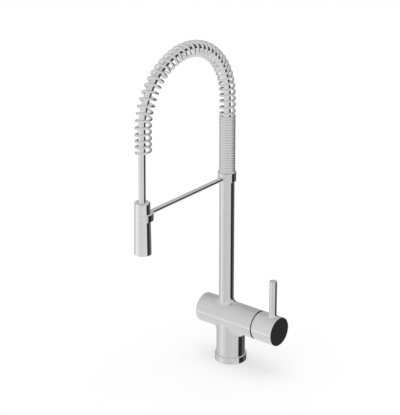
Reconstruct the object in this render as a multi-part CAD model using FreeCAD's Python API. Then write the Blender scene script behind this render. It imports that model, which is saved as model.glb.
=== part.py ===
import FreeCAD, Part
import math
import os

# Single-lever kitchen mixer: a T-shaped body, a tall riser, and a hose that arches forward
# inside a coil spring to a spray head, which a clip on a thin arm holds.
# Millimetres. The origin is the centre of the underside, on the worktop. +Z is up, the spray
# head stands in front towards -Y, and the lever is on the +X side.

# Clearances
FIT = 0.05                  # radial, between pieces that screw, press or turn together
FACE = 0.1                  # axial, between faces that turn on each other
SPRING_SEAT = 0.3           # between the lowest coil and the collar under it
DISC_ROOM = 0.3             # radial, round the turning disc
DOCK_GAP = 0.3              # radial, between the spray head and its clip
KNOB_GAP = 3.0              # between the barrel and the knob

# Base ring, gasket and column
BASE_RING_D = 51.0
BASE_RING_H = 10.5
SEAM = 0.4                  # bevel along a joint line or rim
BODY_SPIGOT_D = 37.0        # part of the body inside the base ring
GASKET_OUT_D = 46.6
GASKET_IN_D = 41.0
GASKET_H = 2.5
COLUMN_D = 45.8

# Horizontal barrel of the body
BARREL_D = 47.0
BARREL_Z = 75.5
BARREL_CLOSED_END = 53.8    # from the column's axis
BARREL_ROUND = 2.0
COLUMN_BLEND = 7.5
NECK_BLEND = 9.0
NECK_H = 10.0               # neck under the riser, above the top of the barrel

# Water ways and fixing holes
STUD_HOLE_D = 8.0
STUD_HOLE_L = 20.0
INLET_D = 10.0
INLET_L = 12.0
INLET_PITCH = 22.0
CHANNEL_D = 8.0
PORT_D = 6.0
INLET_PORT_DROP = 4.0
INLET_PORT_SIDE = 8.0
OUTLET_PORT_RISE = 8.5

# Cartridge, stacked along the barrel from its seat
SEAT_X = 14.0
CARTRIDGE_D = 35.0
CARTRIDGE_BASE_T = 6.0
PORT_SEAL_D = 9.8
PORT_SEAL_T = 1.5
DISC_D = 26.0
DISC_T = 3.9
MIX_RECESS_D = 12.0
MIX_RECESS_T = 1.5
MIX_RECESS_OFFSET = 3.0
CARRIER_T = 5.0
HOUSING_WALL_T = 11.0
HOUSING_NECK_D = 20.0
HOUSING_NECK_L = 8.0
STEM_D = 12.0
STEM_SQUARE = 8.0
STEM_PAST_LEVER = 4.6       # stem beyond the lever's axis
STEM_SEAL_D = 16.0
STEM_SEAL_W = 2.4
NUT_THREAD_D = 40.0
NUT_THREAD_L = 11.85
NUT_HOLE_D = 20.6
NUT_FLANGE_D = 41.4
NUT_FLANGE_T = 1.2

# Handle
KNOB_D = 47.0
KNOB_L = 37.3
KNOB_RIM = 0.4
KNOB_BEVEL = 0.4
KNOB_CAVITY_D = 34.0
KNOB_CAVITY_L = 9.0
LEVER_INSET = 24.2          # from the knob's inner face to the lever's axis
LEVER_D = 11.9
LEVER_L = 55.4
LEVER_BEVEL = 0.8
LEVER_BLEND = 4.5
LEVER_BOSS_H = 5.0
LEVER_TENON_D = 6.0
LEVER_TENON_L = 12.0
SCREW_D = 5.0
SCREW_L = 7.5
SCREW_SOCKET_D = 2.5        # across the flats
SCREW_SOCKET_L = 2.5

# Riser and its end fittings
RISER_X = -9.6
RISER_D = 23.8
RISER_WALL = 1.75
RISER_L = 195.1
FITTING_BORE_D = 12.0
FITTING_PLUG_L = 15.0
FOOT_SPIGOT_D = 19.0
FOOT_SPIGOT_L = 19.0
FOOT_SEAL_D = 15.4          # bottom of the seal grooves
FOOT_SEAL_W = 2.4
FOOT_SEAL_STEP = 5.5

# Swivel at the top of the riser
BEARING_D = 18.0
BEARING_L = 14.9
THREAD_D = 14.0
THREAD_L = 10.0
NIPPLE_BORE_D = 10.0
NIPPLE_BORE_L = 25.0
WASHER_T = 0.5
BUSH_L = 10.9
BUSH_WALL = 1.7
SNAP_RING_T = 1.2
SNAP_RING_DEPTH = 0.8
SNAP_RING_PROUD = 1.1
SNAP_RING_GAP = 4.0
COLLAR_D = 28.8
COLLAR_H = 15.3
COLLAR_BEVEL = 0.6
GLAND_D = 16.6
GLAND_LIP = 2.4
GLAND_HOLE_D = 11.2

# Hose end that turns in the riser
NIPPLE_FLANGE_D = 13.0
NIPPLE_FLANGE_T = 2.0
NIPPLE_SEAL_D = 7.6         # bottom of the seal grooves
NIPPLE_SEAL_W = 2.0
NIPPLE_SEAL_STEP = 7.0
NIPPLE_NECK_L = 5.2         # above the gland nut
BARB_L = 20.0
NIPPLE_WATER_D = 4.4
FERRULE_D = 13.6
FERRULE_L = 24.0

# Hose and spring arch
REACH = 201.5               # riser axis to spray head axis
ARCH_LEG = 122.05           # from the collar to the height of the arch's centre
HOSE_RIDE = 2.8             # hose out of the spring's middle, at the top of the arch
HOSE_LEAN = 1.2             # hose slants forward by this much on its way down to the head
HOSE_D = 10.5
HOSE_BORE_D = 6.4
SPRING_D = 25.5
SPRING_DROP = 33.05         # from the height of the arch's centre to the spring's free end
WIRE_D = 3.7
WIRE_SIDES = 6              # flats round the wire
TIGHT_PITCH = 4.16
TIGHT_TURNS = 21.7
OPEN_TURNS = 34.7
END_PITCH = 9.0
END_TURNS = 2.3
SPRING_START_DEG = 254.0    # where the lowest coil begins, from +X towards the back

# Holder arm and clip
ARM_D = 7.2
ARM_RISE = 5.8              # from the collar's lower edge
TENON_D = 5.0
TENON_L = 2.4
CLIP_D = 33.8
CLIP_H = 10.6
CLIP_BELOW_ARM = 5.3        # from the arm's axis to the clip's lower edge
CLIP_LONG_DEG = 116.0       # wrap on the lever's side, from the arm
CLIP_SHORT_DEG = 80.0       # wrap on the other side
CLIP_END_ROUND = 1.2

# Spray head
HEAD_SEAM_DROP = 1.2        # joint line below the upper edge of the clip
HEAD_CAP_H = 18.0           # upper sleeve, above the joint line
HEAD_BODY_H = 64.7          # lower sleeve
HEAD_TOP_D = 23.8
HEAD_BOTTOM_D = 26.2
HEAD_BEVEL = 1.2
HEAD_CAP_T = 4.6
HEAD_CAP_BORE_D = 19.2
HEAD_NECK_BORE_D = 12.0
HEAD_BORE_D = 20.4
HEAD_SHOULDER_L = 11.0      # from the joint line down to the wide bore
CONE_STEM_D = 10.6
CONE_FLANGE_D = 17.0
CONE_FLANGE_T = 5.0
CONE_WATER_D = 5.0
HEAD_WASHER_T = 2.0
VALVE_L = 14.0
VALVE_RIM_T = 2.0
VALVE_WATER_D = 7.0
AERATOR_L = 16.0
AERATOR_WALL = 1.3
AERATOR_RECESS = 1.2
SCREEN_T = 3.0
SCREEN_HOLE_D = 2.6
SCREEN_RING_R = 5.4
SCREEN_RING_HOLES = 10

# Heights that follow, from the worktop up
NECK_TOP = BARREL_Z + BARREL_D / 2 + NECK_H
RISER_TOP = NECK_TOP + RISER_L
COLLAR_BOTTOM = RISER_TOP + WASHER_T + FACE
COLLAR_TOP = COLLAR_BOTTOM + COLLAR_H
BUSH_TOP = COLLAR_BOTTOM + BUSH_L
SNAP_RING_Z = BUSH_TOP + FACE
BEARING_TOP = RISER_TOP + BEARING_L
THREAD_TOP = BEARING_TOP + THREAD_L
FLANGE_BOTTOM = THREAD_TOP + FACE
FLANGE_TOP = FLANGE_BOTTOM + NIPPLE_FLANGE_T
GLAND_TOP = FLANGE_TOP + FACE + GLAND_LIP
HOSE_START = GLAND_TOP + NIPPLE_NECK_L
SPRING_START = COLLAR_TOP + SPRING_SEAT + WIRE_D / 2
ARCH_Z = COLLAR_TOP + ARCH_LEG
SPRING_END_Z = ARCH_Z - SPRING_DROP
ARM_Z = COLLAR_BOTTOM + ARM_RISE
CLIP_BOTTOM = ARM_Z - CLIP_BELOW_ARM
CLIP_TOP = CLIP_BOTTOM + CLIP_H
HEAD_SEAM_Z = CLIP_TOP - HEAD_SEAM_DROP
HEAD_TOP = HEAD_SEAM_Z + HEAD_CAP_H
HEAD_BOTTOM = HEAD_SEAM_Z - HEAD_BODY_H
HEAD_BORE_TOP = HEAD_SEAM_Z - HEAD_SHOULDER_L
CONE_FLANGE_TOP = HEAD_TOP - HEAD_CAP_T - FIT
HEAD_NECK_TOP = CONE_FLANGE_TOP - CONE_FLANGE_T - HEAD_WASHER_T

# Places that follow, along the barrel
DISC_START = SEAT_X + FIT + CARTRIDGE_BASE_T
MOVING_DISC_START = DISC_START + DISC_T + FACE
CARRIER_START = MOVING_DISC_START + DISC_T
HOUSING_WALL_START = CARRIER_START + CARRIER_T + FACE
HOUSING_END = HOUSING_WALL_START + HOUSING_WALL_T
BARREL_OPEN_END = HOUSING_END + NUT_THREAD_L
KNOB_START = BARREL_OPEN_END + KNOB_GAP
KNOB_END = KNOB_START + KNOB_L
SOCKET_START = KNOB_START + KNOB_CAVITY_L
LEVER_X = KNOB_START + LEVER_INSET
STEM_END = LEVER_X + STEM_PAST_LEVER
BOSS_TOP = BARREL_Z + KNOB_D / 2 + LEVER_BOSS_H

# Radii that follow
RISER_BORE_D = RISER_D - 2 * RISER_WALL
BUSH_BORE_D = BEARING_D + 2 * FIT
BUSH_D = BUSH_BORE_D + 2 * BUSH_WALL
HOSE_ARCH_R = (REACH - HOSE_LEAN) / 2
ARCH_R = HOSE_ARCH_R - HOSE_RIDE / 2
HOSE_ARCH_Z = ARCH_Z + ARCH_R + HOSE_RIDE - HOSE_ARCH_R
COIL_R = SPRING_D / 2 - WIRE_D / 2
HEAD_TAPER = (HEAD_BOTTOM_D - HEAD_TOP_D) / 2 / (HEAD_TOP - HEAD_BOTTOM)

ORIGIN = FreeCAD.Vector(0, 0, 0)
X_AXIS = FreeCAD.Vector(1, 0, 0)
Y_AXIS = FreeCAD.Vector(0, 1, 0)
Z_AXIS = FreeCAD.Vector(0, 0, 1)


def vec(x, y, z):
    return FreeCAD.Vector(x, y, z)


def outline_points(outline):
    """Points in the XZ plane from (radius, height) pairs."""
    return [vec(radius, 0, height) for radius, height in outline]


def turned(outline, degrees=360):
    """Solid of revolution about Z from a closed outline of (radius, height) pairs."""
    points = outline_points(outline)
    face = Part.Face(Part.makePolygon(points + points[:1]))
    return face.revolve(ORIGIN, Z_AXIS, degrees)


def rod(diameter, low, high):
    return Part.makeCylinder(diameter / 2, high - low, vec(0, 0, low))


def sleeve(outer_d, inner_d, low, high):
    outer = outer_d / 2
    inner = inner_d / 2
    return turned([(inner, low), (outer, low), (outer, high), (inner, high)])


def square_bar(width, low, high):
    return Part.makeBox(width, width, high - low, vec(-width / 2, -width / 2, low))


def on_riser(shape):
    return shape.translated(vec(RISER_X, 0, 0))


def on_head(shape):
    return shape.translated(vec(RISER_X, -REACH, 0))


def on_lever(shape):
    return shape.translated(vec(LEVER_X, 0, 0))


def on_barrel(shape):
    """Lay a piece made along Z into the barrel, so that its heights become X."""
    return shape.rotated(ORIGIN, Y_AXIS, 90).translated(vec(0, 0, BARREL_Z))


# Distance of a point from a surface, to pick the edges where two surfaces meet

def upright_wall(x, diameter):
    return lambda point: math.hypot(point.x - x, point.y) - diameter / 2


def barrel_wall(diameter):
    return lambda point: math.hypot(point.y, point.z - BARREL_Z) - diameter / 2


def end_wall(x):
    return lambda point: point.x - x


def meeting_edges(shape, first, second, tolerance=0.02):
    picked = []
    for edge in shape.Edges:
        points = edge.discretize(7)
        if all(abs(first(p)) < tolerance and abs(second(p)) < tolerance for p in points):
            picked.append(edge)
    return picked


def rounded(shape, radius, first, second):
    return shape.makeFillet(radius, meeting_edges(shape, first, second))


# Base and body

def base_gasket():
    return sleeve(GASKET_OUT_D, GASKET_IN_D, 0, GASKET_H)


def base_ring():
    bore = BODY_SPIGOT_D / 2 + FIT
    outer = BASE_RING_D / 2
    ring = turned([
        (bore, 0),
        (outer, 0),
        (outer, BASE_RING_H - SEAM),
        (outer - SEAM, BASE_RING_H),
        (bore, BASE_RING_H),
    ])
    groove = sleeve(GASKET_OUT_D + 2 * FIT, GASKET_IN_D - 2 * FIT, 0, GASKET_H)
    return ring.cut(groove)


def column():
    """Plain column on the base ring, with a spigot inside the ring."""
    spigot = rod(BODY_SPIGOT_D, 0, BASE_RING_H)
    return rod(COLUMN_D, BASE_RING_H, BARREL_Z).fuse(spigot)


def body_bores():
    """Fixing hole, inlets, inner water ways and the seat of the cartridge."""
    bores = [rod(STUD_HOLE_D, 0, STUD_HOLE_L)]
    channel_top = BARREL_Z - INLET_PORT_DROP + PORT_D / 2
    for side in (-1, 1):
        inlet = vec(0, side * INLET_PITCH / 2, 0)
        bores.append(rod(INLET_D, 0, INLET_L).translated(inlet))
        bores.append(rod(CHANNEL_D, 0, channel_top).translated(inlet))
        port = on_barrel(rod(PORT_D, 0, SEAT_X))
        bores.append(port.translated(vec(0, side * INLET_PORT_SIDE, -INLET_PORT_DROP)))
    outlet = on_barrel(rod(PORT_D, RISER_X, SEAT_X))
    bores.append(outlet.translated(vec(0, 0, OUTLET_PORT_RISE)))
    outlet_low = BARREL_Z + OUTLET_PORT_RISE - PORT_D / 2
    bores.append(on_riser(rod(FITTING_BORE_D, outlet_low, NECK_TOP)))
    bores.append(on_riser(rod(FOOT_SPIGOT_D + 2 * FIT, NECK_TOP - FOOT_SPIGOT_L - FACE, NECK_TOP)))
    bores.append(on_barrel(rod(CARTRIDGE_D + 2 * FIT, SEAT_X, BARREL_OPEN_END)))
    bores.append(on_barrel(rod(NUT_THREAD_D + 2 * FIT, HOUSING_END, BARREL_OPEN_END)))
    return bores


def mixer_body():
    """Column, barrel and riser neck as one casting, bored out afterwards."""
    barrel = on_barrel(rod(BARREL_D, -BARREL_CLOSED_END, BARREL_OPEN_END))
    neck = on_riser(rod(RISER_D, BARREL_Z, NECK_TOP))
    body = column().fuse([barrel, neck]).removeSplitter()
    body = rounded(body, NECK_BLEND, upright_wall(RISER_X, RISER_D), barrel_wall(BARREL_D))
    body = rounded(body, COLUMN_BLEND, upright_wall(0, COLUMN_D), barrel_wall(BARREL_D))
    body = rounded(body, BARREL_ROUND, end_wall(-BARREL_CLOSED_END), barrel_wall(BARREL_D))
    return body.cut(body_bores())


# Cartridge

def cartridge_ports():
    """Middle of each port on the seat, before the cartridge is laid along the barrel."""
    return (
        vec(INLET_PORT_DROP, INLET_PORT_SIDE, 0),
        vec(INLET_PORT_DROP, -INLET_PORT_SIDE, 0),
        vec(-OUTLET_PORT_RISE, 0, 0),
    )


def cartridge_base():
    low = SEAT_X + FIT
    base = rod(CARTRIDGE_D, low, DISC_START)
    for place in cartridge_ports():
        base = base.cut(rod(PORT_D, low, DISC_START).translated(place))
        base = base.cut(rod(PORT_SEAL_D, low, low + PORT_SEAL_T).translated(place))
    return on_barrel(base)


def cartridge_seals():
    rings = []
    for place in cartridge_ports():
        ring = sleeve(PORT_SEAL_D - 2 * FIT, PORT_D, SEAT_X, SEAT_X + PORT_SEAL_T)
        rings.append(on_barrel(ring.translated(place)))
    return Part.makeCompound(rings)


def fixed_disc():
    disc = rod(DISC_D, DISC_START, DISC_START + DISC_T)
    for place in cartridge_ports():
        disc = disc.cut(rod(PORT_D, DISC_START, DISC_START + DISC_T).translated(place))
    return on_barrel(disc)


def moving_disc():
    disc = rod(DISC_D, MOVING_DISC_START, CARRIER_START)
    recess = rod(MIX_RECESS_D, MOVING_DISC_START, MOVING_DISC_START + MIX_RECESS_T)
    return on_barrel(disc.cut(recess.translated(vec(-MIX_RECESS_OFFSET, 0, 0))))


def cartridge_housing():
    shell_bore = DISC_D / 2 + DISC_ROOM
    stem_bore = STEM_D / 2 + FIT
    neck_end = HOUSING_END + HOUSING_NECK_L
    housing = turned([
        (shell_bore, DISC_START),
        (CARTRIDGE_D / 2, DISC_START),
        (CARTRIDGE_D / 2, HOUSING_END),
        (HOUSING_NECK_D / 2, HOUSING_END),
        (HOUSING_NECK_D / 2, neck_end),
        (stem_bore, neck_end),
        (stem_bore, HOUSING_WALL_START),
        (shell_bore, HOUSING_WALL_START),
    ])
    groove = sleeve(STEM_SEAL_D, STEM_D, HOUSING_END, HOUSING_END + STEM_SEAL_W)
    return on_barrel(housing.cut(groove))


def stem_seal():
    low = HOUSING_END + FIT
    high = HOUSING_END + STEM_SEAL_W - FIT
    return on_barrel(sleeve(STEM_SEAL_D - 2 * FIT, STEM_D + 2 * FIT, low, high))


def cartridge_nut():
    """Threaded ring that holds the cartridge down. Its flange shows in the gap at the knob."""
    hole = NUT_HOLE_D / 2
    thread = NUT_THREAD_D / 2
    flange = NUT_FLANGE_D / 2
    flange_end = BARREL_OPEN_END + NUT_FLANGE_T
    return on_barrel(turned([
        (hole, HOUSING_END + FIT),
        (thread, HOUSING_END + FIT),
        (thread, BARREL_OPEN_END),
        (flange, BARREL_OPEN_END),
        (flange, flange_end),
        (hole, flange_end),
    ]))


def cartridge_stem():
    """Carrier of the turning disc, round stem through the seal, and square end in the knob."""
    carrier = rod(DISC_D, CARRIER_START, CARRIER_START + CARRIER_T)
    shaft = rod(STEM_D, CARRIER_START, KNOB_START)
    square = square_bar(STEM_SQUARE, KNOB_START, STEM_END)
    return on_barrel(carrier.fuse([shaft, square]).removeSplitter())


# Handle

def handle_knob():
    knob = on_barrel(rod(KNOB_D, KNOB_START, KNOB_END))
    knob = knob.fuse(on_lever(rod(LEVER_D, BARREL_Z, BOSS_TOP))).removeSplitter()
    knob = rounded(knob, LEVER_BLEND, upright_wall(LEVER_X, LEVER_D), barrel_wall(KNOB_D))
    knob = rounded(knob, KNOB_RIM, end_wall(KNOB_END), barrel_wall(KNOB_D))
    inner_rim = meeting_edges(knob, end_wall(KNOB_START), barrel_wall(KNOB_D))
    knob = knob.makeChamfer(KNOB_BEVEL, inner_rim)
    cavity = on_barrel(rod(KNOB_CAVITY_D, KNOB_START, SOCKET_START))
    socket = on_barrel(square_bar(STEM_SQUARE + 2 * FIT, SOCKET_START, STEM_END + FACE))
    screw_hole = on_lever(rod(SCREW_D + 2 * FIT, BARREL_Z, BOSS_TOP))
    tenon_low = BOSS_TOP - LEVER_TENON_L - FACE
    tenon_hole = on_lever(rod(LEVER_TENON_D + 2 * FIT, tenon_low, BOSS_TOP))
    return knob.cut([cavity, socket, screw_hole, tenon_hole])


def handle_lever():
    outer = LEVER_D / 2
    tenon = LEVER_TENON_D / 2
    top = BOSS_TOP + LEVER_L
    return on_lever(turned([
        (0, BOSS_TOP - LEVER_TENON_L),
        (tenon, BOSS_TOP - LEVER_TENON_L),
        (tenon, BOSS_TOP),
        (outer, BOSS_TOP),
        (outer, top - LEVER_BEVEL),
        (outer - LEVER_BEVEL, top),
        (0, top),
    ]))


def handle_screw():
    """Grub screw under the lever that clamps the knob on the stem's square."""
    low = BARREL_Z + STEM_SQUARE / 2 + FIT
    high = low + SCREW_L
    corner_r = SCREW_SOCKET_D / math.sqrt(3)
    corners = []
    for index in range(6):
        turn = math.radians(60 * index)
        corners.append(vec(corner_r * math.cos(turn), corner_r * math.sin(turn), high - SCREW_SOCKET_L))
    socket = Part.Face(Part.makePolygon(corners + corners[:1])).extrude(vec(0, 0, SCREW_SOCKET_L))
    return on_lever(rod(SCREW_D, low, high).cut(socket))


# Riser

def foot_seal_levels():
    first = NECK_TOP - FOOT_SPIGOT_L + FOOT_SEAL_W
    return (first, first + FOOT_SEAL_STEP)


def riser_foot():
    """Turned spigot in the body's neck, with a plug that carries the tube."""
    bore = FITTING_BORE_D / 2
    spigot = FOOT_SPIGOT_D / 2
    plug = RISER_BORE_D / 2 - FIT
    low = NECK_TOP - FOOT_SPIGOT_L
    high = NECK_TOP + FITTING_PLUG_L
    foot = turned([
        (bore, low),
        (spigot, low),
        (spigot, NECK_TOP),
        (plug, NECK_TOP),
        (plug, high),
        (bore, high),
    ])
    for level in foot_seal_levels():
        foot = foot.cut(sleeve(RISER_D, FOOT_SEAL_D, level, level + FOOT_SEAL_W))
    return on_riser(foot)


def riser_seals():
    rings = []
    for level in foot_seal_levels():
        ring = sleeve(FOOT_SPIGOT_D, FOOT_SEAL_D + 2 * FIT, level + FIT, level + FOOT_SEAL_W - FIT)
        rings.append(on_riser(ring))
    return Part.makeCompound(rings)


def riser_tube():
    return on_riser(sleeve(RISER_D, RISER_BORE_D, NECK_TOP, RISER_TOP))


def riser_head():
    """Turned fitting with the bearing for the swivel collar and the gland thread above it."""
    bore = FITTING_BORE_D / 2
    plug = RISER_BORE_D / 2 - FIT
    nipple_bore = NIPPLE_BORE_D / 2
    nipple_low = THREAD_TOP - NIPPLE_BORE_L
    head = turned([
        (bore, RISER_TOP - FITTING_PLUG_L),
        (plug, RISER_TOP - FITTING_PLUG_L),
        (plug, RISER_TOP),
        (BEARING_D / 2, RISER_TOP),
        (BEARING_D / 2, BEARING_TOP),
        (THREAD_D / 2, BEARING_TOP),
        (THREAD_D / 2, THREAD_TOP),
        (nipple_bore, THREAD_TOP),
        (nipple_bore, nipple_low),
        (bore, nipple_low),
    ])
    groove_d = BEARING_D - 2 * SNAP_RING_DEPTH
    groove = sleeve(RISER_D, groove_d, SNAP_RING_Z, SNAP_RING_Z + SNAP_RING_T + FACE)
    return on_riser(head.cut(groove))


def slip_washer():
    return on_riser(sleeve(RISER_D, BUSH_BORE_D, RISER_TOP, RISER_TOP + WASHER_T))


def snap_ring():
    """Split ring in its groove, which keeps the collar from lifting off."""
    inner_d = BEARING_D - 2 * SNAP_RING_DEPTH + 2 * FIT
    outer_d = BEARING_D + 2 * SNAP_RING_PROUD
    low = SNAP_RING_Z + FACE / 2
    ring = sleeve(outer_d, inner_d, low, low + SNAP_RING_T)
    split = Part.makeBox(SNAP_RING_GAP, outer_d, SNAP_RING_T, vec(-SNAP_RING_GAP / 2, 0, low))
    return on_riser(ring.cut(split))


def gland_nut():
    """Cap nut that keeps the turning hose end in the riser."""
    outer = GLAND_D / 2
    thread = THREAD_D / 2 + FIT
    hole = GLAND_HOLE_D / 2
    lip = GLAND_TOP - GLAND_LIP
    low = BEARING_TOP + FACE
    return on_riser(turned([
        (thread, low),
        (outer, low),
        (outer, GLAND_TOP),
        (hole, GLAND_TOP),
        (hole, lip),
        (thread, lip),
    ]))


# Swivel collar, arm and clip

def swivel_bush():
    return on_riser(sleeve(BUSH_D, BUSH_BORE_D, COLLAR_BOTTOM, BUSH_TOP))


def swivel_collar():
    outer = COLLAR_D / 2
    bore = BUSH_D / 2 + FIT
    collar = turned([
        (bore, COLLAR_BOTTOM),
        (outer - COLLAR_BEVEL, COLLAR_BOTTOM),
        (outer, COLLAR_BOTTOM + COLLAR_BEVEL),
        (outer, COLLAR_TOP - COLLAR_BEVEL),
        (outer - COLLAR_BEVEL, COLLAR_TOP),
        (bore, COLLAR_TOP),
    ])
    start = vec(0, TENON_L + FACE - outer, ARM_Z)
    return on_riser(collar.cut(Part.makeCylinder(TENON_D / 2 + FIT, outer, start, -Y_AXIS)))


def holder_arm():
    """Thin rod with a saddle and a tenon at each end."""
    collar_r = COLLAR_D / 2
    clip_r = CLIP_D / 2
    span = REACH - collar_r - clip_r
    bar_start = vec(0, ARM_D / 2 - collar_r, ARM_Z)
    bar = Part.makeCylinder(ARM_D / 2, span + ARM_D, bar_start, -Y_AXIS)
    collar_side = rod(COLLAR_D + 2 * FIT, ARM_Z - ARM_D, ARM_Z + ARM_D)
    clip_side = rod(CLIP_D + 2 * FIT, ARM_Z - ARM_D, ARM_Z + ARM_D).translated(vec(0, -REACH, 0))
    bar = bar.cut([collar_side, clip_side])
    tenon_start = vec(0, TENON_L - collar_r, ARM_Z)
    tenon = Part.makeCylinder(TENON_D / 2, span + 2 * TENON_L, tenon_start, -Y_AXIS)
    return on_riser(bar.fuse(tenon).removeSplitter())


def head_radius(z):
    return HEAD_TOP_D / 2 + (HEAD_TOP - z) * HEAD_TAPER


def head_clip():
    """Open clip that the head is drawn up into. Its gap in front lets the hose out."""
    inner = head_radius(CLIP_BOTTOM) + DOCK_GAP
    outer = CLIP_D / 2
    section = [(inner, CLIP_BOTTOM), (outer, CLIP_BOTTOM), (outer, CLIP_TOP), (inner, CLIP_TOP)]
    clip = turned(section, CLIP_LONG_DEG + CLIP_SHORT_DEG)
    uprights = [edge for edge in clip.Edges if abs(edge.tangentAt(edge.FirstParameter).z) > 0.99]
    clip = clip.makeFillet(CLIP_END_ROUND, uprights)
    clip = clip.rotated(ORIGIN, Z_AXIS, 90 - CLIP_LONG_DEG)
    start = vec(0, outer - TENON_L - FACE, ARM_Z)
    return on_head(clip.cut(Part.makeCylinder(TENON_D / 2 + FIT, outer, start, Y_AXIS)))


# Hose

def nipple_seal_levels():
    first = THREAD_TOP - NIPPLE_BORE_L + 2 * NIPPLE_SEAL_W
    return (first, first + NIPPLE_SEAL_STEP)


def hose_nipple():
    """Turning hose end: a sealed stem in the riser, a flange under the nut, and a barb."""
    water = NIPPLE_WATER_D / 2
    stem = NIPPLE_BORE_D / 2 - FIT
    neck = GLAND_HOLE_D / 2 - FIT
    barb = HOSE_BORE_D / 2 - FIT
    low = THREAD_TOP - NIPPLE_BORE_L + FACE
    nipple = turned([
        (water, low),
        (stem, low),
        (stem, FLANGE_BOTTOM),
        (NIPPLE_FLANGE_D / 2, FLANGE_BOTTOM),
        (NIPPLE_FLANGE_D / 2, FLANGE_TOP),
        (neck, FLANGE_TOP),
        (neck, HOSE_START),
        (barb, HOSE_START),
        (barb, HOSE_START + BARB_L),
        (water, HOSE_START + BARB_L),
    ])
    for level in nipple_seal_levels():
        nipple = nipple.cut(sleeve(NIPPLE_BORE_D, NIPPLE_SEAL_D, level, level + NIPPLE_SEAL_W))
    return on_riser(nipple)


def nipple_seals():
    rings = []
    for level in nipple_seal_levels():
        outer_d = NIPPLE_BORE_D - FIT
        inner_d = NIPPLE_SEAL_D + 2 * FIT
        ring = sleeve(outer_d, inner_d, level + FIT, level + NIPPLE_SEAL_W - FIT)
        rings.append(on_riser(ring))
    return Part.makeCompound(rings)


def hose_ferrule():
    return on_riser(sleeve(FERRULE_D, HOSE_D + 2 * FIT, HOSE_START, HOSE_START + FERRULE_L))


def hose_run(diameter):
    """Round bar along the hose, from the riser over the arch and straight into the spray head."""
    centre = vec(RISER_X, -HOSE_ARCH_R, HOSE_ARCH_Z)
    foot = vec(RISER_X, 0, HOSE_START)
    head = vec(RISER_X, -REACH, HEAD_TOP)
    to_head = head - centre
    # the angle, up from the riser side, at which the hose leaves the arch for the head
    head_turn = math.atan2(to_head.z, to_head.y) % (2 * math.pi)
    leave = head_turn - math.acos(HOSE_ARCH_R / to_head.Length)
    places = []
    for turn in (0, leave / 4, leave / 2, leave * 3 / 4, leave):
        places.append(centre + vec(0, math.cos(turn), math.sin(turn)) * HOSE_ARCH_R)
    past_head = head + (head - places[-1]).normalize() * HOSE_D
    path = Part.Wire([
        Part.LineSegment(foot, places[0]).toShape(),
        Part.Arc(*places[:3]).toShape(),
        Part.Arc(*places[2:]).toShape(),
        Part.LineSegment(places[-1], past_head).toShape(),
    ])
    section = Part.Wire([Part.makeCircle(diameter / 2, foot, Z_AXIS)])
    return path.makePipeShell([section], True, False)


def hose():
    return hose_run(HOSE_D).cut(hose_run(HOSE_BORE_D))


def bare_space(low):
    """Room round the hose between the spray head and the spring's free end, from a height up."""
    corner = vec(-SPRING_D / 2, -SPRING_D / 2, low)
    return on_head(Part.makeBox(SPRING_D, SPRING_D, SPRING_END_Z - low, corner))


def spray_hose():
    return hose().cut(bare_space(0))


def hose_drop():
    """Bare stretch of the same hose, from the end of the spring to the spray head."""
    return hose().common(bare_space(HEAD_TOP))


# Spring

def spring_axis(along):
    """Centre, direction, outward side and bend of the spring's axis, at a length from its seat."""
    leg = ARCH_Z - SPRING_START
    arc = math.pi * ARCH_R
    turn = min(max((along - leg) / ARCH_R, 0), math.pi)
    straight = min(along - leg, 0) + max(along - leg - arc, 0)
    direction = vec(0, -math.sin(turn), math.cos(turn))
    outward = vec(0, math.cos(turn), math.sin(turn))
    centre = vec(RISER_X, -ARCH_R, ARCH_Z) + outward * ARCH_R + direction * straight
    bend = 0 if straight else 1 / ARCH_R
    return centre, direction, outward, bend


def open_pitch():
    """Pitch of the stretched turns, which take up what the closed ends leave."""
    length = ARCH_Z - SPRING_START + math.pi * ARCH_R + SPRING_DROP
    return (length - TIGHT_PITCH * TIGHT_TURNS - END_PITCH * END_TURNS) / OPEN_TURNS


def pitch_at(turn):
    """Pitch after a count of turns. It changes over one turn at each end of the open part."""
    opening = min(max(turn - TIGHT_TURNS + 0.5, 0), 1)
    closing = min(max(turn - TIGHT_TURNS - OPEN_TURNS + 0.5, 0), 1)
    stretched = open_pitch()
    return TIGHT_PITCH + (stretched - TIGHT_PITCH) * opening + (END_PITCH - stretched) * closing


def coil_places():
    """Point and direction of the wire about every half turn."""
    places = []
    along = 0.0
    turns = TIGHT_TURNS + OPEN_TURNS + END_TURNS
    steps = math.ceil(2 * turns)
    step = turns / steps
    for index in range(steps + 1):
        turn = index * step
        centre, direction, outward, bend = spring_axis(along)
        angle = 2 * math.pi * turn + math.radians(SPRING_START_DEG)
        radial = X_AXIS * math.cos(angle) + outward * math.sin(angle)
        around = outward * math.cos(angle) - X_AXIS * math.sin(angle)
        climb = pitch_at(turn) * (1 + bend * COIL_R * math.sin(angle))
        heading = direction * climb + around * (2 * math.pi * COIL_R)
        places.append((centre + radial * COIL_R, heading.normalize()))
        along += (pitch_at(turn) + pitch_at(turn + step)) / 2 * step
    return places


def arc_between(start, heading, end):
    """Arc that leaves start along heading and ends at end, with its radius."""
    chord = end - start
    side = chord - heading * chord.dot(heading)
    radius = chord.dot(chord) / (2 * side.Length)
    side.normalize()
    half = math.atan2(chord.dot(side), chord.dot(heading))
    middle = start + heading * (radius * math.sin(half)) + side * (radius * (1 - math.cos(half)))
    return Part.Arc(start, middle, end).toShape(), radius


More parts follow.
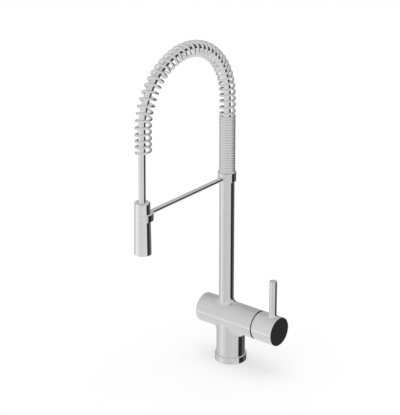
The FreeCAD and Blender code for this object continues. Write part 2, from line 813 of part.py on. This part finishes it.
def biarc(start, start_heading, end, end_heading):
    """Two arcs that join two places smoothly, with equal tangent lengths."""
    chord = end - start
    a = 2 * (1 - start_heading.dot(end_heading))
    b = 2 * chord.dot(start_heading + end_heading)
    c = -chord.dot(chord)
    tangent = (-b + math.sqrt(b * b - 4 * a * c)) / (2 * a)
    joint = (start + end + (start_heading - end_heading) * tangent) * 0.5
    first, first_radius = arc_between(start, start_heading, joint)
    second, second_radius = arc_between(end, end_heading * -1, joint)
    return [first, second.reversed()], min(first_radius, second_radius)


def spring_path():
    """Line of the wire: arcs along the coils, and a straight run of one wire at each end."""
    places = coil_places()
    first, first_heading = places[0]
    last, last_heading = places[-1]
    edges = [Part.LineSegment(first - first_heading * WIRE_D, first).toShape()]
    radii = []
    for (start, start_heading), (end, end_heading) in zip(places, places[1:]):
        arcs, radius = biarc(start, start_heading, end, end_heading)
        edges += arcs
        radii.append(radius)
    edges.append(Part.LineSegment(last, last + last_heading * WIRE_D).toShape())
    print("spring: tightest arc %.2f mm, open pitch %.2f mm" % (min(radii), open_pitch()))
    return Part.Wire(edges)


def least_self_gap(path, steps=5):
    """Least distance between turns, on points along the wire, less the wire itself."""
    points = []
    travelled = 0.0
    for edge in path.OrderedEdges:
        for point in edge.discretize(steps + 1)[:-1]:
            points.append((travelled, point))
            travelled += edge.Length / steps
    turn_length = 2 * math.pi * COIL_R
    least = SPRING_D
    for index, (place, point) in enumerate(points):
        for other_place, other in points[index + 1:]:
            if other_place - place > 3 * turn_length:
                break
            if other_place - place > turn_length / 2:
                least = min(least, point.distanceToPoint(other))
    return least - WIRE_D


def guide_spring():
    """Coil spring on the arched axis, swept as one wire."""
    path = spring_path()
    print("spring: least gap to itself %.2f mm" % least_self_gap(path))
    start = path.OrderedVertexes[0].Point
    heading = (path.OrderedVertexes[1].Point - start).normalize()
    side = heading.cross(Z_AXIS).normalize()
    rise = side.cross(heading)
    corners = []
    for index in range(WIRE_SIDES):
        turn = 2 * math.pi * (index + 0.5) / WIRE_SIDES
        corners.append(start + (side * math.cos(turn) + rise * math.sin(turn)) * (WIRE_D / 2))
    return path.makePipeShell([Part.makePolygon(corners + corners[:1])], True, False)


# Spray head

def head_collar():
    """Upper sleeve of the spray head, closed by a cap with a hole for the hose end."""
    bore = HEAD_CAP_BORE_D / 2
    hole = CONE_STEM_D / 2 + FIT
    cap = HEAD_TOP - HEAD_CAP_T
    low = HEAD_SEAM_Z + FIT
    return on_head(turned([
        (bore, low),
        (head_radius(low) - SEAM, low),
        (head_radius(low + SEAM), low + SEAM),
        (head_radius(HEAD_TOP - HEAD_BEVEL), HEAD_TOP - HEAD_BEVEL),
        (head_radius(HEAD_TOP) - HEAD_BEVEL, HEAD_TOP),
        (hole, HEAD_TOP),
        (hole, cap),
        (bore, cap),
    ]))


def hose_cone():
    """Flanged hose end that hangs in the cap of the spray head."""
    water = CONE_WATER_D / 2
    stem = CONE_STEM_D / 2
    flange = CONE_FLANGE_D / 2
    low = CONE_FLANGE_TOP - CONE_FLANGE_T
    return on_head(turned([
        (water, low),
        (flange, low),
        (flange, CONE_FLANGE_TOP),
        (stem, CONE_FLANGE_TOP),
        (stem, HEAD_TOP),
        (water, HEAD_TOP),
    ]))


def head_washer():
    high = HEAD_NECK_TOP + HEAD_WASHER_T
    return on_head(sleeve(CONE_FLANGE_D, HEAD_NECK_BORE_D, HEAD_NECK_TOP, high))


def head_body():
    """Lower sleeve, with a threaded neck that screws into the upper sleeve."""
    neck = HEAD_CAP_BORE_D / 2 - FIT
    neck_bore = HEAD_NECK_BORE_D / 2
    bore = HEAD_BORE_D / 2
    return on_head(turned([
        (bore, HEAD_BOTTOM),
        (head_radius(HEAD_BOTTOM) - SEAM, HEAD_BOTTOM),
        (head_radius(HEAD_BOTTOM + SEAM), HEAD_BOTTOM + SEAM),
        (head_radius(HEAD_SEAM_Z - SEAM), HEAD_SEAM_Z - SEAM),
        (head_radius(HEAD_SEAM_Z) - SEAM, HEAD_SEAM_Z),
        (neck, HEAD_SEAM_Z),
        (neck, HEAD_NECK_TOP),
        (neck_bore, HEAD_NECK_TOP),
        (neck_bore, HEAD_BORE_TOP),
        (bore, HEAD_BORE_TOP),
    ]))


def check_valve():
    """Non-return valve in the neck, with a rim against the shoulder below it."""
    body = HEAD_NECK_BORE_D / 2 - FIT
    rim = HEAD_BORE_D / 2 - FIT
    water = VALVE_WATER_D / 2
    rim_top = HEAD_BORE_TOP - FIT
    low = rim_top - VALVE_RIM_T
    return on_head(turned([
        (water, low),
        (rim, low),
        (rim, rim_top),
        (body, rim_top),
        (body, low + VALVE_L),
        (water, low + VALVE_L),
    ]))


def aerator_ring():
    """Threaded ring in the mouth of the head, with a lip under the screen."""
    outer = HEAD_BORE_D / 2 - FIT
    bore = outer - AERATOR_WALL
    lip = bore - AERATOR_WALL
    low = HEAD_BOTTOM + AERATOR_RECESS
    return on_head(turned([
        (lip, low),
        (outer, low),
        (outer, low + AERATOR_L),
        (bore, low + AERATOR_L),
        (bore, low + AERATOR_WALL),
        (lip, low + AERATOR_WALL),
    ]))


def aerator_screen():
    diameter = HEAD_BORE_D - 4 * FIT - 2 * AERATOR_WALL
    low = HEAD_BOTTOM + AERATOR_RECESS + AERATOR_WALL
    hole = rod(SCREEN_HOLE_D, low, low + SCREEN_T)
    holes = [hole]
    for index in range(SCREEN_RING_HOLES):
        turn = 2 * math.pi * index / SCREEN_RING_HOLES
        place = vec(math.cos(turn), math.sin(turn), 0) * SCREEN_RING_R
        holes.append(hole.translated(place))
    return on_head(rod(diameter, low, low + SCREEN_T).cut(holes))


PIECES = (
    base_gasket, base_ring, mixer_body,
    cartridge_base, cartridge_seals, fixed_disc, moving_disc, cartridge_housing, stem_seal,
    cartridge_nut, cartridge_stem,
    handle_knob, handle_lever, handle_screw,
    riser_foot, riser_seals, riser_tube, riser_head, slip_washer, snap_ring, gland_nut,
    swivel_bush, swivel_collar, holder_arm, head_clip,
    hose_nipple, nipple_seals, hose_ferrule, spray_hose, hose_drop, guide_spring,
    head_collar, hose_cone, head_washer, head_body, check_valve, aerator_ring, aerator_screen,
)

os.makedirs("parts", exist_ok=True)
for piece in PIECES:
    shape = piece()
    shape.exportStep("parts/%s.step" % piece.__name__)
    print("%-18s %10.1f mm3, solids %d" % (piece.__name__, shape.Volume, len(shape.Solids)))
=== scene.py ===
import bpy
import math
from mathutils import Matrix, Vector


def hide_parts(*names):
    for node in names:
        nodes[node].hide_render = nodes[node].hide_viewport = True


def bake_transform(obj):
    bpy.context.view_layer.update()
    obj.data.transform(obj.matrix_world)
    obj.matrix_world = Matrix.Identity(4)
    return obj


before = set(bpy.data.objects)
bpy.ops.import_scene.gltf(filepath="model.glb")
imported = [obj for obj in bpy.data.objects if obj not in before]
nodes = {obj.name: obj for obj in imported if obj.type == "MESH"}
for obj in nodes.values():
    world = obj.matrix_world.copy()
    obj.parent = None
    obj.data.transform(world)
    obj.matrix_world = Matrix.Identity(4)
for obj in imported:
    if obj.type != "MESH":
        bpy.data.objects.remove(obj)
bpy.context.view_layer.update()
MM = 0.001

# Driving dimensions of the hose and spring, repeated from the part's source, in metres
RISER_X = -9.6 * MM
REACH = 201.5 * MM              # riser axis to spray head axis
HOSE_LEAN = 1.2 * MM            # hose slants forward by this much on its way down to the head
HOSE_RIDE = 2.8 * MM            # hose out of the spring's middle, at the top of the arch
HOSE_ARCH_R = (REACH - HOSE_LEAN) / 2
ARCH_R = HOSE_ARCH_R - HOSE_RIDE / 2
ARCH_Z = 442.05 * MM
HOSE_ARCH_Z = ARCH_Z + ARCH_R + HOSE_RIDE - HOSE_ARCH_R
COLLAR_TOP = 320.0 * MM
HOSE_START = 338.8 * MM
HEAD_TOP = 332.6 * MM
HOSE_R = 5.25 * MM
SPRING_R = 12.75 * MM           # outside of the coils
SPRING_SEAT = 2.15 * MM         # from the collar to the middle of the wire, where it begins
SPRING_START = COLLAR_TOP + SPRING_SEAT
SPRING_DROP = 33.05 * MM        # from the height of the arch's centre to the spring's free end
TIGHT_PITCH = 4.16 * MM
TIGHT_TURNS = 21.7
OPEN_TURNS = 34.7
END_PITCH = 9.0 * MM
END_TURNS = 2.3
SPRING_START_DEG = 254.0        # where the lowest coil begins, from +X towards the back
SPRING_L = ARCH_Z - SPRING_START + math.pi * ARCH_R + SPRING_DROP
OPEN_PITCH = (SPRING_L - TIGHT_PITCH * TIGHT_TURNS - END_PITCH * END_TURNS) / OPEN_TURNS

# Details that only the pieces made here have
WIRE_R = 1.95 * MM              # round, where the solid's wire has six flats
COIL_R = SPRING_R - WIRE_R
GROUND_TURNS = 0.85             # added below the lowest coil and ground flat on the collar
WIRE_STEPS = 36                 # in one turn
WIRE_CORNERS = 14
WIRE_END_R = 0.6 * MM
HOSE_STEP = 2.0 * MM
HOSE_CORNERS = 40
HOSE_END_R = 0.3 * MM
END_RINGS = 4                   # that round the end of a tube
END_START_DEG = 20.0            # where on its quarter circle that rounding begins


# Materials: blotches in the colour, and one fine grain in the gloss and the relief

NOISE_LOW = 0.3                 # noise at which the darker colour or lower value is reached
NOISE_HIGH = 0.7                # and the lighter colour or higher value
BLOTCH_DETAIL = 3.0
GRAIN_DETAIL = 2.0
METAL_RELIEF = (0.05, 0.01 * MM)        # strength and depth
PLASTIC_BLOTCH = 120.0                  # per metre
PLASTIC_GRAIN = 2500.0
PLASTIC_RELIEF = (0.2, 0.03 * MM)
COOL_TINT = 1.005               # blue of a grey metal, over its red and green


def noise(tree, scale, detail):
    """Noise in the coordinates of the object, with a scale per metre."""
    place = tree.nodes.new("ShaderNodeTexCoord")
    texture = tree.nodes.new("ShaderNodeTexNoise")
    texture.inputs["Scale"].default_value = scale
    texture.inputs["Detail"].default_value = detail
    tree.links.new(place.outputs["Object"], texture.inputs["Vector"])
    return texture.outputs["Fac"]


def colours(tree, fac, dark, light):
    """Colour that goes from dark to light with the noise."""
    node = tree.nodes.new("ShaderNodeValToRGB")
    first, last = node.color_ramp.elements
    first.position = NOISE_LOW
    first.color = (*dark, 1)
    last.position = NOISE_HIGH
    last.color = (*light, 1)
    tree.links.new(fac, node.inputs["Fac"])
    return node.outputs["Color"]


def values(tree, fac, low, high):
    """Value that goes from low to high with the noise."""
    node = tree.nodes.new("ShaderNodeMapRange")
    node.inputs["From Min"].default_value = NOISE_LOW
    node.inputs["From Max"].default_value = NOISE_HIGH
    node.inputs["To Min"].default_value = low
    node.inputs["To Max"].default_value = high
    tree.links.new(fac, node.inputs["Value"])
    return node.outputs["Result"]


def surface(name, dark, light, rough, blotch, grain, relief):
    """Material with blotches from dark to light, and a grain in its roughness and relief."""
    mat = bpy.data.materials.new(name)
    mat.use_nodes = True
    tree = mat.node_tree
    shader = tree.nodes["Principled BSDF"]
    cloud = noise(tree, blotch, BLOTCH_DETAIL)
    tree.links.new(colours(tree, cloud, dark, light), shader.inputs["Base Color"])
    fine = noise(tree, grain, GRAIN_DETAIL)
    tree.links.new(values(tree, fine, *rough), shader.inputs["Roughness"])
    bump = tree.nodes.new("ShaderNodeBump")
    bump.inputs["Strength"].default_value, bump.inputs["Distance"].default_value = relief
    tree.links.new(fine, bump.inputs["Height"])
    tree.links.new(bump.outputs["Normal"], shader.inputs["Normal"])
    return mat, shader


def metal(name, dark, light, rough, blotch=60.0, grain=900.0):
    mat, shader = surface(name, dark, light, rough, blotch, grain, METAL_RELIEF)
    shader.inputs["Metallic"].default_value = 1.0
    return mat


def plastic(name, dark, light, rough, specular=0.5):
    """Moulded plastic, rubber or ceramic."""
    mat, shader = surface(
        name, dark, light, rough, PLASTIC_BLOTCH, PLASTIC_GRAIN, PLASTIC_RELIEF,
    )
    shader.inputs["Specular IOR Level"].default_value = specular
    return mat


def grey(value):
    return (value, value, value * COOL_TINT)


chrome = metal("polished_chrome", grey(0.765), grey(0.795), (0.035, 0.06))
knob_chrome = metal("knob_chrome", grey(0.80), grey(0.83), (0.04, 0.07))
head_chrome = metal("head_chrome", grey(0.88), grey(0.91), (0.04, 0.07))
spring_chrome = metal("spring_chrome", grey(0.79), grey(0.83), (0.12, 0.18))
hose_silver = metal("hose_silver", grey(0.83), grey(0.87), (0.09, 0.14), 90.0, 1400.0)
nickel = metal("dull_nickel", grey(0.42), grey(0.47), (0.2, 0.32))
bright_nickel = metal("bright_nickel", grey(0.80), grey(0.86), (0.15, 0.25))
brass = metal(
    "turned_brass", (0.70, 0.50, 0.22), (0.78, 0.58, 0.28), (0.2, 0.35), 80.0, 1500.0,
)
steel = metal("plain_steel", grey(0.48), grey(0.55), (0.2, 0.35), 80.0, 1500.0)
rubber = plastic(
    "black_rubber", (0.012, 0.012, 0.012), (0.02, 0.02, 0.021), (0.55, 0.75), 0.3,
)
ceramic = plastic("ground_ceramic", (0.80, 0.78, 0.74), (0.86, 0.84, 0.80), (0.12, 0.25))
cartridge_white = plastic(
    "cartridge_white", (0.72, 0.72, 0.70), (0.78, 0.78, 0.76), (0.4, 0.55),
)
bearing_grey = plastic("bearing_grey", (0.06, 0.06, 0.062), (0.08, 0.08, 0.082), (0.35, 0.5))
aerator_grey = plastic("aerator_grey", (0.42, 0.42, 0.43), (0.48, 0.48, 0.49), (0.3, 0.45))

LOOKS = {
    chrome: (
        "base_ring", "mixer_body", "riser_tube", "swivel_collar", "holder_arm", "head_clip",
        "handle_lever",
    ),
    knob_chrome: ("handle_knob",),
    head_chrome: ("head_collar", "head_body"),
    nickel: ("aerator_ring", "riser_head", "gland_nut", "hose_nipple", "hose_cone"),
    bright_nickel: ("cartridge_nut",),
    brass: ("cartridge_stem", "riser_foot"),
    steel: ("handle_screw", "snap_ring", "hose_ferrule"),
    rubber: (
        "base_gasket", "cartridge_seals", "stem_seal", "riser_seals", "nipple_seals",
        "head_washer",
    ),
    ceramic: ("fixed_disc", "moving_disc"),
    cartridge_white: ("cartridge_base", "cartridge_housing", "check_valve"),
    bearing_grey: ("slip_washer", "swivel_bush"),
    aerator_grey: ("aerator_screen",),
    hose_silver: ("spray_hose", "hose_drop"),
    spring_chrome: ("guide_spring",),
}


def dress(piece, look):
    """Gives a piece its material. It shows the studio, but isn't mirrored in other pieces."""
    piece.data.materials.clear()
    piece.data.materials.append(look)
    piece.visible_glossy = False


for look, names in LOOKS.items():
    for name in names:
        dress(nodes[name], look)


# Spring and hose

def spring_place(along):
    """Centre and outward side of the spring's axis, at a length from its start."""
    leg = ARCH_Z - SPRING_START
    turn = min(max((along - leg) / ARCH_R, 0), math.pi)
    straight = min(along - leg, 0) + max(along - leg - math.pi * ARCH_R, 0)
    direction = Vector((0, -math.sin(turn), math.cos(turn)))
    outward = Vector((0, math.cos(turn), math.sin(turn)))
    centre = Vector((RISER_X, -ARCH_R, ARCH_Z)) + outward * ARCH_R + direction * straight
    return centre, outward


def pitch_at(turn):
    """Pitch of the wire, which changes over one turn where the spring opens and closes."""
    opening = min(max(turn - TIGHT_TURNS + 0.5, 0), 1)
    closing = min(max(turn - TIGHT_TURNS - OPEN_TURNS + 0.5, 0), 1)
    return TIGHT_PITCH + (OPEN_PITCH - TIGHT_PITCH) * opening + (END_PITCH - OPEN_PITCH) * closing


def coil_line():
    """Points along the wire, their sides away from the spring's axis, and the wire's heights.

    The first part is ground: its underside lies flat on the collar, while its height grows to
    the whole wire.
    """
    points = []
    sides = []
    heights = []
    ground_steps = round(GROUND_TURNS * WIRE_STEPS)
    ground_pitch = TIGHT_PITCH / 2
    wound_steps = round((TIGHT_TURNS + OPEN_TURNS + END_TURNS) * WIRE_STEPS)
    along = -ground_pitch * ground_steps / WIRE_STEPS
    for index in range(-ground_steps, wound_steps + 1):
        turn = index / WIRE_STEPS
        centre, outward = spring_place(along)
        angle = 2 * math.pi * turn + math.radians(SPRING_START_DEG)
        side = Vector((math.cos(angle), 0, 0)) + outward * math.sin(angle)
        points.append(centre + side * COIL_R)
        sides.append(side)
        heights.append(1 + min(turn, 0) * ground_pitch / WIRE_R)
        if index < 0:
            along += ground_pitch / WIRE_STEPS
        else:
            along += (pitch_at(turn) + pitch_at(turn + 1 / WIRE_STEPS)) / 2 / WIRE_STEPS
    return points, sides, heights


def hose_line():
    """Points along the hose's middle, from the riser over the arch straight to the spray head.

    The sides and heights that go with them are those of an even tube.
    """
    foot = Vector((RISER_X, 0, HOSE_START))
    head = Vector((RISER_X, -REACH, HEAD_TOP))
    centre = Vector((RISER_X, -HOSE_ARCH_R, HOSE_ARCH_Z))
    to_head = head - centre
    head_angle = math.atan2(to_head.z, to_head.y) % (2 * math.pi)
    leave = head_angle - math.acos(HOSE_ARCH_R / to_head.length)
    arch_steps = round(HOSE_ARCH_R * leave / HOSE_STEP)
    arch = []
    for index in range(arch_steps + 1):
        turn = leave * index / arch_steps
        arch.append(centre + Vector((0, math.cos(turn), math.sin(turn))) * HOSE_ARCH_R)
    rise = round((arch[0] - foot).length / HOSE_STEP)
    fall = round((head - arch[-1]).length / HOSE_STEP)
    points = [foot.lerp(arch[0], index / rise) for index in range(rise)]
    points += arch
    points += [arch[-1].lerp(head, index / fall) for index in range(1, fall + 1)]
    return points, [Vector((1, 0, 0))] * len(points), [1.0] * len(points)


def tube(name, points, sides, heights, radius, corners, end_radius):
    """Closed tube along points, with rounded ends.

    At each point, the section's first direction is the side, and its second is as long as the
    height says.
    """
    rings = []
    last = len(points) - 1
    for index, (point, side, height) in enumerate(zip(points, sides, heights)):
        along = (points[min(index + 1, last)] - points[max(index - 1, 0)]).normalized()
        first = (side - along * side.dot(along)).normalized()
        rings.append((point, first, along.cross(first) * height, along))
    rounding = []
    for step in range(END_RINGS):
        turn = math.radians(END_START_DEG + (90 - END_START_DEG) * step / END_RINGS)
        shift = end_radius * math.cos(turn)
        size = 1 - end_radius / radius * (1 - math.sin(turn))
        rounding.append((shift, size))
    stations = [(0, -shift, size) for shift, size in rounding]
    stations += [(index, 0.0, 1.0) for index in range(last + 1)]
    stations += [(last, shift, size) for shift, size in reversed(rounding)]
    vertices = []
    for index, shift, size in stations:
        point, first, second, along = rings[index]
        for corner in range(corners):
            turn = 2 * math.pi * corner / corners
            spoke = first * math.cos(turn) + second * math.sin(turn)
            vertices.append(point + along * shift + spoke * (radius * size))
    faces = []
    for row in range(len(stations) - 1):
        low = row * corners
        high = low + corners
        for corner in range(corners):
            after = (corner + 1) % corners
            faces.append((low + corner, low + after, high + after, high + corner))
    faces.append(tuple(reversed(range(corners))))
    faces.append(tuple(range(len(vertices) - corners, len(vertices))))
    mesh = bpy.data.meshes.new(name)
    mesh.from_pydata(vertices, [], faces)
    mesh.shade_smooth()
    mesh.update()
    piece = bpy.data.objects.new(name, mesh)
    bpy.context.scene.collection.objects.link(piece)
    return piece


spring = tube("guide_spring_wire", *coil_line(), WIRE_R, WIRE_CORNERS, WIRE_END_R)
hose = tube("spray_hose_run", *hose_line(), HOSE_R, HOSE_CORNERS, HOSE_END_R)
for piece, look, slot, stands_for in (
    (spring, spring_chrome, "spring_chrome", ("guide_spring",)),
    (hose, hose_silver, "hose", ("spray_hose", "hose_drop")),
):
    dress(piece, look)
    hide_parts(*stands_for)
    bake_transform(piece)


# Floor: white to the camera, with the shadow of the object, and left out of reflections, where
# the studio is bright in its place

FLOOR_HALF = 30.0
FLOOR_COLOUR = 0.85             # for the light that it throws back
FLOOR_SEEN = 0.58               # its colour to the camera
FLOOR_GLOW = 0.412              # added to that, so that it is white where no shadow falls


def floor():
    mesh = bpy.data.meshes.new("floor")
    corners = [
        (-FLOOR_HALF, -FLOOR_HALF, 0), (FLOOR_HALF, -FLOOR_HALF, 0),
        (FLOOR_HALF, FLOOR_HALF, 0), (-FLOOR_HALF, FLOOR_HALF, 0),
    ]
    mesh.from_pydata(corners, [], [(0, 1, 2, 3)])
    plane = bpy.data.objects.new("floor", mesh)
    bpy.context.scene.collection.objects.link(plane)
    mat = bpy.data.materials.new("pale_floor")
    mat.use_nodes = True
    tree = mat.node_tree
    tree.nodes.clear()
    path = tree.nodes.new("ShaderNodeLightPath")
    paint = tree.nodes.new("ShaderNodeBsdfDiffuse")
    shade = tree.nodes.new("ShaderNodeMapRange")
    shade.inputs["To Min"].default_value = FLOOR_COLOUR
    shade.inputs["To Max"].default_value = FLOOR_SEEN
    tree.links.new(path.outputs["Is Camera Ray"], shade.inputs["Value"])
    tree.links.new(shade.outputs["Result"], paint.inputs["Color"])
    glow = tree.nodes.new("ShaderNodeEmission")
    level = tree.nodes.new("ShaderNodeMath")
    level.operation = "MULTIPLY"
    level.inputs[1].default_value = FLOOR_GLOW
    tree.links.new(path.outputs["Is Camera Ray"], level.inputs[0])
    tree.links.new(level.outputs[0], glow.inputs["Strength"])
    total = tree.nodes.new("ShaderNodeAddShader")
    tree.links.new(paint.outputs[0], total.inputs[0])
    tree.links.new(glow.outputs[0], total.inputs[1])
    out = tree.nodes.new("ShaderNodeOutputMaterial")
    tree.links.new(total.outputs[0], out.inputs["Surface"])
    mesh.materials.append(mat)
    plane.visible_glossy = False


# Studio: the brightness that the polished metal shows, by direction. An azimuth is in degrees
# from +X towards +Y, a height is the z of the direction, and the camera is at azimuth -52.

HORIZON_LEVEL = 0.634
BACK_CHANGE = -0.17             # per unit of y, so it is darker at the back
LOW_CHANGE = -0.067             # per unit of z below the horizon, so it is brighter there
PANELS = (
    # azimuths, their softness, heights, their softness, level; a later row covers earlier ones
    (None, None, (-1.2, -0.62), 0.06, 0.80),                # floor, all round
    ((-100.0, -40.0), 14.0, (-0.6, -0.1), 0.15, 0.69),      # the camera's side
    ((-146.0, -120.0), 13.0, (-0.47, -0.25), 0.07, 0.95),   # light stripe on the left
    ((122.0, 160.0), 10.0, (-0.5, 0.1), 0.1, 0.44),         # lower back wall
    ((116.0, 141.0), 5.0, (0.1, 0.69), 0.05, 0.455),        # upper back wall
    ((116.0, 141.0), 5.0, (0.34, 0.52), 0.04, 0.52),        # lighter band on it
    (None, None, (0.9, 1.2), 0.03, 0.45),                   # ceiling, all round
    ((20.0, 112.0), 6.0, (0.36, 0.95), 0.06, 0.66),         # light above the dark panels
    ((58.0, 102.0), 4.0, (-0.58, 0.56), 0.05, 0.115),       # dark panel at the back on the right
    ((-10.0, 8.0), 8.0, (-0.8, 0.2), 0.1, 0.74),            # light stripe on the right
    ((11.0, 58.0), 2.5, (-0.58, 0.26), 0.08, 0.03),         # black panel on the right
)
WHITE = 1.0                     # what the camera sees behind the object
SOFT_LEVEL = 0.75               # what lights the matt surfaces, from all round
LAMP_ENERGY = 0.9
LAMP_SPREAD_DEG = 50.0


def studio():
    world = bpy.data.worlds.new("studio")
    bpy.context.scene.world = world
    world.use_nodes = True
    tree = world.node_tree
    tree.nodes.clear()

    def math_node(operation, first, second=None):
        node = tree.nodes.new("ShaderNodeMath")
        node.operation = operation
        for socket, value in zip(node.inputs, (first, second)):
            if value is None:
                continue
            if isinstance(value, float):
                socket.default_value = value
            else:
                tree.links.new(value, socket)
        return node.outputs[0]

    def edge(value, middle, soft, before, after):
        """Goes softly from one number to another, round a middle value."""
        node = tree.nodes.new("ShaderNodeMapRange")
        node.interpolation_type = "SMOOTHSTEP"
        node.inputs["From Min"].default_value = middle - soft
        node.inputs["From Max"].default_value = middle + soft
        node.inputs["To Min"].default_value = before
        node.inputs["To Max"].default_value = after
        tree.links.new(value, node.inputs["Value"])
        return node.outputs[0]

    def band(value, low, high, soft):
        """One inside low to high, nought outside, with soft edges."""
        return math_node(
            "MULTIPLY", edge(value, low, soft, 0.0, 1.0), edge(value, high, soft, 1.0, 0.0),
        )

    def towards(base, mask, level):
        """Base moved to a level where the mask is one."""
        keep = math_node("MULTIPLY", base, math_node("SUBTRACT", 1.0, mask))
        return math_node("ADD", keep, math_node("MULTIPLY", mask, level))

    place = tree.nodes.new("ShaderNodeTexCoord")
    direction = tree.nodes.new("ShaderNodeSeparateXYZ")
    tree.links.new(place.outputs["Generated"], direction.inputs[0])
    x, y, z = direction.outputs
    azimuth = math_node("DEGREES", math_node("ARCTAN2", y, x))

    level = math_node("ADD", HORIZON_LEVEL, math_node("MULTIPLY", y, BACK_CHANGE))
    below = math_node("MINIMUM", z, 0.0)
    level = math_node("ADD", level, math_node("MULTIPLY", below, LOW_CHANGE))
    for azimuths, soft_azimuth, heights, soft_height, panel_level in PANELS:
        mask = band(z, *heights, soft_height)
        if azimuths:
            mask = math_node("MULTIPLY", band(azimuth, *azimuths, soft_azimuth), mask)
        level = towards(level, mask, panel_level)

    path = tree.nodes.new("ShaderNodeLightPath")
    level = towards(level, path.outputs["Is Camera Ray"], WHITE)
    level = towards(level, path.outputs["Is Diffuse Ray"], SOFT_LEVEL)
    back = tree.nodes.new("ShaderNodeBackground")
    back.inputs["Color"].default_value = (1, 1, 1, 1)
    tree.links.new(level, back.inputs["Strength"])
    out = tree.nodes.new("ShaderNodeOutputWorld")
    tree.links.new(back.outputs[0], out.inputs["Surface"])

    lamp = bpy.data.lights.new("overhead_light", "SUN")
    lamp.angle = math.radians(LAMP_SPREAD_DEG)
    lamp.energy = LAMP_ENERGY
    overhead = bpy.data.objects.new("overhead_light", lamp)
    overhead.visible_glossy = False
    bpy.context.scene.collection.objects.link(overhead)


# Camera, from the fit to the photograph

PHOTO_HEIGHT = 415              # pixels
CAMERA_FOCAL = 1918.485         # pixels
CAMERA_TURN_DEG = 39.014        # from the front, -Y, towards +X
CAMERA_ELEVATION_DEG = 22.614
CAMERA_PLACE = (1.69796, -2.17419, 1.41022)
SENSOR_HEIGHT = 36.0
CLIP_END = 100.0


def camera():
    azimuth = math.radians(CAMERA_TURN_DEG)
    elevation = math.radians(CAMERA_ELEVATION_DEG)
    back = Vector((
        math.sin(azimuth) * math.cos(elevation),
        -math.cos(azimuth) * math.cos(elevation),
        math.sin(elevation),
    ))
    right = Vector((math.cos(azimuth), math.sin(azimuth), 0))
    up = back.cross(right)
    data = bpy.data.cameras.new("camera")
    data.sensor_fit = "VERTICAL"
    data.sensor_height = SENSOR_HEIGHT
    data.lens = SENSOR_HEIGHT * CAMERA_FOCAL / PHOTO_HEIGHT
    data.clip_end = CLIP_END
    view = bpy.data.objects.new("camera", data)
    turn = Matrix((right, up, back)).transposed().to_4x4()
    view.matrix_world = Matrix.Translation(CAMERA_PLACE) @ turn
    bpy.context.scene.collection.objects.link(view)
    bpy.context.scene.camera = view


floor()
studio()
camera()
bpy.context.scene.view_settings.view_transform = "Standard"
